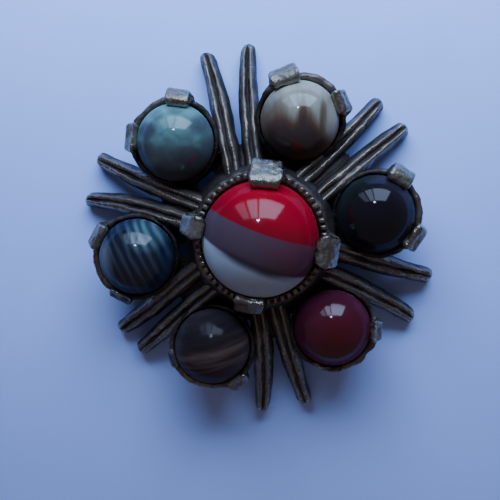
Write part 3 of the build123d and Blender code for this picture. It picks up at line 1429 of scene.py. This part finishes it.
@dataclass(frozen=True)
class Collet(Holder):
    """The centre setting: a flared wall, a rim of beads and four broad claws, in millimetres.

    The beads get bare worn metal and a painted highlight above bead_sheen_from below the rim, and darken under
    bead_dark_from, partly oxidised and partly as painted shade, each at its own rate. They fill a share of
    their band, and each is a little wider, longer, higher and further on by chance.
    """

    claws: tuple[Claw, ...] = (
        Claw(74, 3.05, 0.75, 0.75, 1.5, inner_slope=0.5, pinch_in=0.74, rounding=0.22),
        Claw(-20, 3.3, 0.35, 0.75, 1.1, inner_slope=0.6, pinch_in=0.6, pinch_out=0.7, rounding=0.4),
        Claw(-110, 2.8, 0.15, 0.35, 0.9, inner_slope=0.5),
        Claw(158, 2.4, 0.45, 0.9, 1.2, inner_slope=0.6, pinch_in=0.6, pinch_out=0.7, rounding=0.4),
    )
    gap: float = 0.13
    wall: float = 0.98
    rim_drop: float = 0.2
    floor: float = 2.75
    flare: float = 0.6
    flare_drop: float = 2.0
    shoulder: float = 0.30
    shoulder_drop: float = 0.95
    ledge_inset: float = 0.25
    ledge_drop: float = 0.28
    crest: float = 0.2
    steps: int = 128
    bezel: float = 0.06
    bead_band: float = 0.58
    bead_count: int = 54
    bead_gap: float = 0.20
    bead_height: float = 0.46
    bead_rounding: float = 0.13
    bead_fill: float = 0.96
    bead_wider: float = 0.14
    bead_longer: float = 0.25
    bead_higher: float = 0.05
    bead_astray: float = 0.12
    bead_sheen_from: float = 0.12
    bead_sheen_rate: float = 4.0
    bead_dark_from: float = 0.06
    bead_dark_rate: float = 9.0

    def build(self, casting: Casting, material: bpy.types.Material, back: float) -> None:
        """Spin the wall, add the claws and cast them, then add the beads.

        Args:
            casting: Fuses the piece.
            material: The metal.
            back: Height of the collet's underside above the surface.
        """
        foot, ledge = self.outer + self.flare, self.rim - self.ledge_drop
        wall = self.turn(foot, back, [
            (foot, self.rim - self.flare_drop), (self.outer + self.shoulder, self.rim - self.shoulder_drop),
            (self.outer - self.ledge_inset, ledge), (self.pocket + self.bezel, ledge), (self.pocket, ledge),
        ]).move(self.stone.place.shift)
        self.add_claws(wall, self.claws)
        mesh = casting.cast(wall, "collet", lambda points: self.rim + self.crest - points[:, 2])
        place_piece(mesh, "collet", material, "setting")
        mesh = self.beads().mesh("collet_beads")
        below = self.rim - Casting.read(mesh.vertices, "co", 3, np.float32)[:, 2]
        # Bead tops get bare metal and a painted highlight; their lower parts darken, partly oxidised, partly
        # painted shade.
        Casting.attach(mesh, "relief", np.clip((self.bead_sheen_from - below) * self.bead_sheen_rate, -1, 1))
        Casting.attach(mesh, "depth", np.clip((below - self.bead_dark_from) * self.bead_dark_rate, -1, 3))
        place_piece(mesh, "collet_beads", material, "setting")

    def beads(self) -> Mould:
        """Shape the ring of small square beads, each a little different from the next.

        Returns:
            The beads' solids.
        """
        middle = self.pocket + self.bezel + self.bead_band / 2
        pitch = math.tau * middle / self.bead_count
        ring = Mould()
        for index in range(self.bead_count):
            seed = Vector((index * 1.7, 0.4, 0.0))
            chance, lengthwise, upwards = (
                noise.noise(seed + Vector(step)) for step in ((0, 0, 0), (0, 9, 0), (0, 0, 7)))
            size = (
                self.bead_band * (self.bead_fill + self.bead_wider * chance),
                (pitch - self.bead_gap) * (1 + self.bead_longer * lengthwise),
                self.bead_height,
            )
            height = self.rim - self.bead_height / 2 + self.bead_higher * upwards
            bead = Mould().block(size, (middle, 0.0, height)).round_edges(self.bead_rounding)
            angle = math.tau * (index + self.bead_astray * chance) / self.bead_count
            ring.take(bead.move(self.stone.place.shift @ Matrix.Rotation(angle, 4, "Z")))
        return ring


@dataclass(frozen=True)
class Spike:
    """One spike of a pair, with its distances to the side as shares of the room beside the pair's line."""

    root: float
    tip: float
    reach: float


class Waver(NamedTuple):
    """A slow uneven change along a spike: its size, how often it turns, and its own layer of noise."""

    size: float
    pitch: float
    layer: float

    def at(self, along: float, seed: float) -> float:
        """The change at a place along a spike with its own seed."""
        return self.size * noise.noise(Vector((along * self.pitch, seed, self.layer)))


@dataclass(frozen=True)
class SpikeForm:
    """What all the spikes share, in millimetres.

    Along gives places from the root to the tip, as shares of the length. Width, top and under give the half
    width, the crest and the underside there, as shares of half_width, of the crest's whole fall and of back.
    The groove is groove_share of its size on average, shallower where the half width is below groove_room,
    and never deeper than groove_limit of the spike's height.
    """

    reach: float = 17.3
    root: float = 4.74
    root_top: float = 5.9
    tip_height: float = 1.3
    half_width: float = 0.95
    channel: float = 2.005
    back: float = 2.3
    groove: float = 0.44
    groove_share: float = 0.8
    groove_room: float = 0.7
    groove_limit: float = 0.55
    web_drop: float = 0.55
    web_edge: float = 0.5
    web_slope: float = 1.0
    side_waver: Waver = Waver(0.07, 5.0, 0.3)
    width_waver: Waver = Waver(0.10, 6.5, 4.1)
    groove_waver: Waver = Waver(0.7, 4.5, 2.2)
    lean_waver: Waver = Waver(0.05, 4.0, 8.8)
    along: tuple[float, ...] = (0.0, 0.35, 0.65, 0.925, 1.0)
    width: tuple[float, ...] = (1.0, 1.06, 1.04, 0.84, 0.72)
    top: tuple[float, ...] = (1.0, 0.74, 0.39, 0.09, 0.0)
    under: tuple[float, ...] = (1.0, 1.0, 0.45, 0.0, 0.0)
    stations: int = 22
    straight: float = 0.95
    tip_round: float = 0.5
    tip_shares: tuple[float, ...] = (1.0, 0.75, 0.5, 0.25, 0.05)

    def crest(self, along: float | np.ndarray) -> float | np.ndarray:
        """Height of the ridges at places along the spike."""
        return self.tip_height + np.interp(along, self.along, self.top) * (self.root_top - self.tip_height)

    def heights(self, along: float) -> Point:
        """Underside and crest at a place along the spike."""
        return self.back * float(np.interp(along, self.along, self.under)), float(self.crest(along))

    def section(self, spike: Spike, along: float, seed: float, end: float = 1.0) -> list[Vector]:
        """Outline across a spike: two rounded ridges with a groove between them.

        Args:
            spike: The spike.
            along: Place along it.
            seed: Makes each spike's unevenness its own.
            end: Share that the outline is drawn in to, for a rounded tip.

        Returns:
            Points in order round the outline.
        """
        reach = self.root + along * (self.reach * spike.reach - self.root)
        bend = self.channel * (spike.root + (spike.tip - spike.root) * along * along)
        side = bend + self.side_waver.at(along, seed)
        swell = 1 + self.width_waver.at(along, seed)
        half = self.half_width * float(np.interp(along, self.along, self.width)) * swell * end
        under, top = self.heights(along)
        middle = (under + top) / 2
        top, under = middle + (top - middle) * end, middle + (under - middle) * end
        drop = top - under
        uneven = self.groove_share + self.groove_waver.at(along, seed)
        groove = min(self.groove * uneven * min(1.0, half / self.groove_room), self.groove_limit * drop)
        lean = self.lean_waver.at(along, seed)
        # Points are shares of the half width and falls below the crest.
        right = [
            (0.00, groove), (0.07, 0.85 * groove), (0.17, 0.32 * groove),
            (0.27, 0.06), (0.37, 0.0), (0.48, 0.05),
            (0.64, 0.21), (0.82, 0.48), (0.97, 0.40 + 0.35 * drop), (0.98, drop),
        ]
        left = [(-share, fall) for share, fall in reversed(right[1:])]
        return [
            Vector((reach, side + half * share, top - fall + lean * share)) for share, fall in left + right
        ]

    def mould(self, spike: Spike, seed: float) -> Mould:
        """Shape one spike along +X, from inside the collet's wall to its blunt tip.

        Args:
            spike: The spike.
            seed: Makes each spike's unevenness its own.

        Returns:
            The spike's solid.
        """
        places = [self.straight * step / (self.stations - 1) for step in range(self.stations)]
        loops = [self.section(spike, along, seed) for along in places]
        length = self.tip_round / (self.reach - self.root)
        for share in self.tip_shares:
            loops.append(self.section(spike, 1 - length * share, seed, math.sqrt(1 - (1 - share) ** 2)))
        return Mould().loft(loops)


@dataclass(frozen=True)
class SpikePair:
    """Two spikes and the sunk web that joins their inner ends.

    Web is the share of the length that the web reaches, and painted_shade darkens the pair as if it lay
    deeper: a painted shade that tones down the pairs that face the window light.
    """

    name: str
    angle: float
    left: Spike
    right: Spike
    web: float
    painted_shade: float = 0.0
    crest_drop: float = 0.15
    next_seed: float = 7.7
    form: SpikeForm = SpikeForm()

    def panel(self) -> Mould:
        """Shape the web between the two spikes.

        Returns:
            The web's solid.
        """
        form = self.form
        length = form.reach * (self.left.reach + self.right.reach) / 2 - form.root
        crest = self.web - form.web_slope / length
        inner = [along for along in form.along if along < crest] + [crest]
        lows = [(form.root + length * along, form.heights(along)[0]) for along in [*inner, self.web]]
        highs = [(form.root + length * along, form.crest(along) - form.web_drop) for along in reversed(inner)]
        outline = [*lows, (lows[-1][0], lows[-1][1] + form.web_edge), *highs]
        return Mould().slab(outline, self.right.root * form.channel, self.left.root * form.channel)

    def build(self, casting: Casting, material: bpy.types.Material) -> None:
        """Cast the pair as one piece.

        Args:
            casting: Fuses the piece.
            material: The metal.
        """
        arms = self.form.mould(self.left, self.angle)
        arms.take(self.form.mould(self.right, self.angle + self.next_seed)).take(self.panel())
        mesh = casting.cast(arms, self.name, self.depth)
        mesh.transform(Matrix.Rotation(math.radians(self.angle), 4, "Z"))
        place_piece(mesh, self.name, material, "setting")

    def depth(self, points: np.ndarray) -> np.ndarray:
        """Measure how far points lie below the line of the crests, where the painted shade counts as depth.

        Args:
            points: The points.

        Returns:
            Their depths.
        """
        form = self.form
        along = (points[:, 0] - form.root) / (form.reach - form.root)
        return form.crest(along) - self.crest_drop - points[:, 2] + self.painted_shade


class Gap(NamedTuple):
    """A gap in the flange: its direction, and shares of the stones' ring radius and of the gap's size."""

    angle: float
    distance: float
    across: float
    along: float


@dataclass(frozen=True)
class Flange:
    """The flat ring round the collet's foot, with two gaps beside the stones, in millimetres."""

    outer: float = 8.225
    inner: float = 5.6
    thickness: float = 0.6
    ring_radius: float = 10.9
    gap_size: float = 1.3
    gaps: tuple[Gap, ...] = (Gap(122, 0.62, 0.55, 1.50), Gap(182, 0.64, 0.90, 1.00))
    # Depth given to the whole flange, which paints it dark as shade.
    flange_shade: float = 1.6
    steps: int = 96

    def build(self, casting: Casting, material: bpy.types.Material, back: float) -> None:
        """Spin the ring and cut its gaps.

        Args:
            casting: Roughens the piece.
            material: The metal.
            back: Height of the ring's underside above the surface.
        """
        top = back + self.thickness
        ring = Mould().lathe([
            (self.inner, back), (self.outer, back), (self.outer, top), (self.inner, top), (self.inner, back),
        ], self.steps)
        plate = add_object("flange_raw", ring.mesh("flange_raw"))
        cutters = [self.cutter(plate, gap, back) for gap in self.gaps]
        cut = Mould()
        cut.solid.from_mesh(modified_mesh(plate))
        for helper in [plate, *cutters]:
            bpy.data.meshes.remove(helper.data)
        # The whole flange is painted dark as shade.
        mesh = casting.cast(cut, "flange", lambda points: np.full(len(points), self.flange_shade))
        place_piece(mesh, "flange", material, "setting")

    def cutter(self, plate: bpy.types.Object, gap: Gap, back: float) -> bpy.types.Object:
        """Cut one gap through the plate with a Boolean modifier.

        Args:
            plate: The plate.
            gap: The gap.
            back: Height of the plate's underside above the surface.

        Returns:
            The block that cuts it, which has to stay until the plate is read.
        """
        size = (self.gap_size * gap.across, self.gap_size * gap.along, 4 * self.thickness)
        block = Mould().block(size, (self.ring_radius * gap.distance, 0.0, back + self.thickness / 2))
        block.move(Matrix.Rotation(math.radians(gap.angle), 4, "Z"))
        cutter = add_object("flange_cutter", block.mesh("flange_cutter"))
        opening = plate.modifiers.new("gap", "BOOLEAN")
        opening.operation = "DIFFERENCE"
        opening.object = cutter
        return cutter


@dataclass(frozen=True)
class Brooch:
    """The whole brooch over the frame's solids."""

    back: float = 2.3
    centre: Cabochon = field(default_factory=lambda: Cabochon(
        "centre_stone", TrefoilGlass(), back=1.3, arc_steps=20, turn_steps=128))
    cups: tuple[Cup, ...] = (
        Cup(Cabochon("teal_stone", MottledGlass()), (
            Claw(163, 2.6, lap=0.2, proud=0.45), Claw(73, 2.35))),
        Cup(Cabochon("cream_stone", FlamedGlass()), (
            Claw(100, 2.7, proud=0.8), Claw(12, 2.3, lap=0.3))),
        Cup(Cabochon("black_stone", NightGlass()), (
            Claw(48, 2.3, proud=0.8), Claw(-42, 2.5, lap=0.3))),
        Cup(Cabochon("red_stone", RubyGlass()), (
            Claw(-13, 2.0, lap=0.1, proud=0.5), Claw(-101, 2.0, lap=0.0, proud=0.3))),
        Cup(Cabochon("brown_stone", BandedGlass()), (
            Claw(-63, 2.0, lap=0.1), Claw(-170, 1.6, lap=0.0, proud=0.4))),
        Cup(Cabochon("blue_stone", StripedGlass()), (
            Claw(235, 2.3, lap=0.0), Claw(140, 2.5, lap=0.2))),
    )
    pairs: tuple[SpikePair, ...] = (
        # A sixth value is painted shade that darkens a pair facing the window light.
        SpikePair("spikes_top", 90, Spike(0.42, 0.86, 1.020), Spike(-0.56, -1.18, 1.016), 0.30, 0.42),
        SpikePair("spikes_upper_right", 30, Spike(0.55, 0.95, 0.978), Spike(-0.56, -0.69, 0.997), 0.55, 0.12),
        SpikePair("spikes_lower_right", -30, Spike(0.59, 0.84, 0.996), Spike(-0.54, -1.30, 0.984), 0.20),
        SpikePair("spikes_bottom", -90, Spike(0.43, 0.89, 1.018), Spike(-0.43, -1.31, 1.019), 0.43),
        SpikePair("spikes_lower_left", -150, Spike(0.60, 0.75, 0.962), Spike(-0.50, -0.67, 0.968), 0.41),
        SpikePair("spikes_upper_left", 150, Spike(0.40, 1.26, 0.975), Spike(-0.50, -0.76, 0.985), 0.40),
    )
    skin: CastSkin = CastSkin()
    spike_skin: CastSkin = CastSkin(
        subdivide=1, soften=3, wave=0.08, wave_length=1.5, grain=0.050, grain_length=0.30, grain_drawn=4.5)

    def build(self) -> None:
        """Build and dress every piece."""
        fineness = Fineness.FINAL
        metal = CastMetal().material("antique_cast_metal")
        casting = Casting(self.skin, fineness)
        for cup in self.cups:
            cup.stone.build()
            cup.build(casting, metal, self.back)
        self.centre.build()
        Collet(self.centre).build(casting, metal, self.back)
        Flange().build(casting, metal, self.back)
        for pair in self.pairs:
            pair.build(Casting(self.spike_skin, fineness), metal)

    @staticmethod
    def dress_pin(pin: bpy.types.Object) -> None:
        """Give the frame's own pin its metal."""
        pin.data.materials.clear()
        pin.data.materials.append(PinMetal().material("pin_metal"))


@dataclass(frozen=True)
class Glow:
    """A flat light that is aimed at the brooch, in millimetres and degrees.

    Turn is its direction from the top of the picture towards the right. A mirrored light shows in glossy
    surfaces alone, and one that isn't lights matt surfaces alone.
    """

    away: float
    height: float
    turn: float
    size: Point
    glow: float
    colour: Colour
    mirrored: bool = True


@dataclass(frozen=True)
class Studio:
    """Pale floor, a window beyond the top of the picture, aimed lights and the camera, in millimetres."""

    eye: tuple[float, float, float] = (3.633, 3.531, 58.579)
    eye_right: tuple[float, float, float] = (0.9817, -0.1803, -0.0618)
    eye_up: tuple[float, float, float] = (0.1736, 0.9797, -0.1001)
    eye_back: tuple[float, float, float] = (0.0786, 0.0875, 0.9931)
    lens: float = 43.2
    sensor: float = 36.0
    floor_size: float = 1200.0
    window_away: float = 115.0
    window_low: float = 17.0
    window_high: float = 52.0
    pane_light: Colour = (0.50, 0.66, 1.0)
    sky: Glow = Glow(82.0, 36.0, 1.0, (96.0, 42.0), 18.0, (0.45, 0.64, 1.02), mirrored=False)
    lamp: Glow = Glow(190.0, 56.0, -4.0, (12.0, 6.0), 120.0, (0.50, 0.66, 1.0))
    fill: Glow = Glow(150.0, 24.0, 165.0, (240.0, 100.0), 0.40, (1.0, 0.84, 0.90), mirrored=False)
    room: Colour = (0.98, 0.82, 0.95)
    room_glow: float = 0.098

    @property
    def top(self) -> Vector:
        """Level direction towards the top of the picture."""
        return Vector((self.eye_up[0], self.eye_up[1], 0.0)).normalized()

    @property
    def side(self) -> Vector:
        """Level direction towards the right of the picture."""
        return Vector((self.top.y, -self.top.x, 0.0))

    def build(self) -> None:
        """Set up the floor, the light and the camera."""
        self.lay_floor()
        self.fill_room()
        for pane in Panes:
            self.hang_pane(f"window_{pane.name.lower()}", *pane.value)
        for name, light in (("sky", self.sky), ("lamp", self.lamp), ("fill", self.fill)):
            self.hang_glow(name, light)
        self.set_camera()

    def lay_floor(self) -> None:
        """Lay the surface that the brooch rests on."""
        sheet = bmesh.new()
        bmesh.ops.create_grid(sheet, x_segments=1, y_segments=1, size=self.floor_size / 2 * MM)
        mesh = bpy.data.meshes.new("floor")
        sheet.to_mesh(mesh)
        sheet.free()
        mesh.materials.append(PaleSurface().material("pale_surface"))
        floor = add_object("floor", mesh)

    def fill_room(self) -> None:
        """Set the dim light of the room."""
        world = bpy.data.worlds.new("room")
        world.use_nodes = True
        background = world.node_tree.nodes["Background"]
        background.inputs["Color"].default_value = (*self.room, 1.0)
        background.inputs["Strength"].default_value = self.room_glow
        bpy.context.scene.world = world

    @staticmethod
    def hang_light(name: str, middle: Vector, back: Vector, size: Point, glow: float, colour: Colour,
                   mirrored: bool = True) -> None:
        """Hang a flat light, which is seen in mirrors or lights matt surfaces, but not both.

        Args:
            name: Name of the light.
            middle: Its middle.
            back: Direction away from the side that it shines to.
            size: Its width and height.
            glow: Its radiance.
            colour: Its colour.
            mirrored: Whether it is the mirrored kind.
        """
        data = bpy.data.lights.new(name, "AREA")
        data.shape = "RECTANGLE"
        data.size, data.size_y = size[0] * MM, size[1] * MM
        data.energy = glow * math.pi * data.size * data.size_y
        data.color = colour
        light = add_object(name, data)
        light.location = middle * MM
        light.rotation_euler = back.to_track_quat("Z", "Y").to_euler()
        light.visible_glossy, light.visible_diffuse, light.visible_camera = mirrored, not mirrored, False

    def hang_pane(self, name: str, first: float, last: float, glow: float) -> None:
        """Hang one upright pane of the window.

        Args:
            name: Name of the light.
            first: Direction of its left edge.
            last: Direction of its right edge.
            glow: Its radiance.
        """
        angles = (first, last, self.window_low, self.window_high)
        left, right, low, high = (self.window_away * math.tan(math.radians(angle)) for angle in angles)
        middle = self.top * self.window_away + self.side * (left + right) / 2
        middle.z = (low + high) / 2
        self.hang_light(name, middle, self.top, (right - left, high - low), glow, self.pane_light)

    def hang_glow(self, name: str, light: Glow) -> None:
        """Hang a light that is aimed at the brooch.

        Args:
            name: Name of the light.
            light: Its place, size and colour.
        """
        turn, height = math.radians(light.turn), math.radians(light.height)
        level = self.top * math.cos(turn) + self.side * math.sin(turn)
        back = level * math.cos(height) + Vector((0, 0, math.sin(height)))
        self.hang_light(name, back * light.away, back, light.size, light.glow, light.colour, light.mirrored)

    def set_camera(self) -> None:
        """Set the camera above the brooch, as in the photograph."""
        data = bpy.data.cameras.new("camera")
        data.lens, data.sensor_width, data.clip_start = self.lens, self.sensor, 0.001
        camera = add_object("camera", data)
        turn = Matrix((self.eye_right, self.eye_up, self.eye_back)).transposed()
        camera.matrix_world = Matrix.Translation(Vector(self.eye) * MM) @ turn.to_4x4()
        bpy.context.scene.camera = camera


def main() -> None:
    """Load the frame, dress it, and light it."""
    logging.basicConfig(level=logging.INFO, format="%(name)s: %(message)s")
    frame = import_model()
    Brooch().build()
    Brooch.dress_pin(frame["nodes"]["brooch_pin"])
    Studio().build()
    LOG.info("all pieces are in place")


if __name__ == "__main__":
    main()
